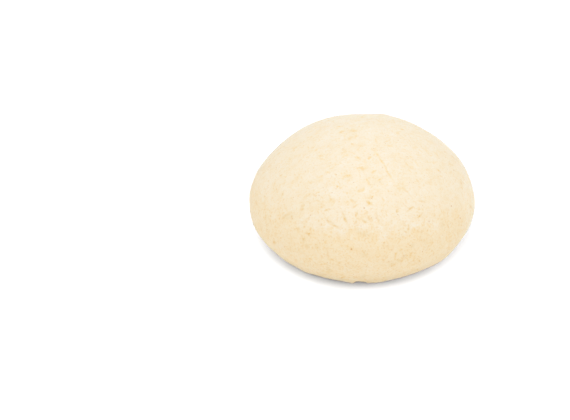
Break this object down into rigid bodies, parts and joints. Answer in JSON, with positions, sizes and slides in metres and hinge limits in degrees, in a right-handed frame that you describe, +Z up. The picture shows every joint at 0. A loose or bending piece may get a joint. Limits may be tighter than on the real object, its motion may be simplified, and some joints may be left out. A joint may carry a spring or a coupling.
{
  "type": "steamed yeast dumpling",
  "caption": "Round steamed yeast dumpling of pale risen dough, whole and uncut, with a smooth domed top and a flat foot to stand on.",
  "frame": {"origin": "on the surface that the dumpling rests on, under the middle of its bounding box", "axes": "+Z up through the dome, -Y towards the side that faces the viewer, +X to the viewer's right"},
  "size_m": [0.1, 0.0998, 0.054],
  "materials": {
    "dough": "soft cream-coloured steamed dough with a faint damp sheen"
  },
  "bodies": {
    "root": {"dumpling": "dough"}
  },
  "joints": []
}
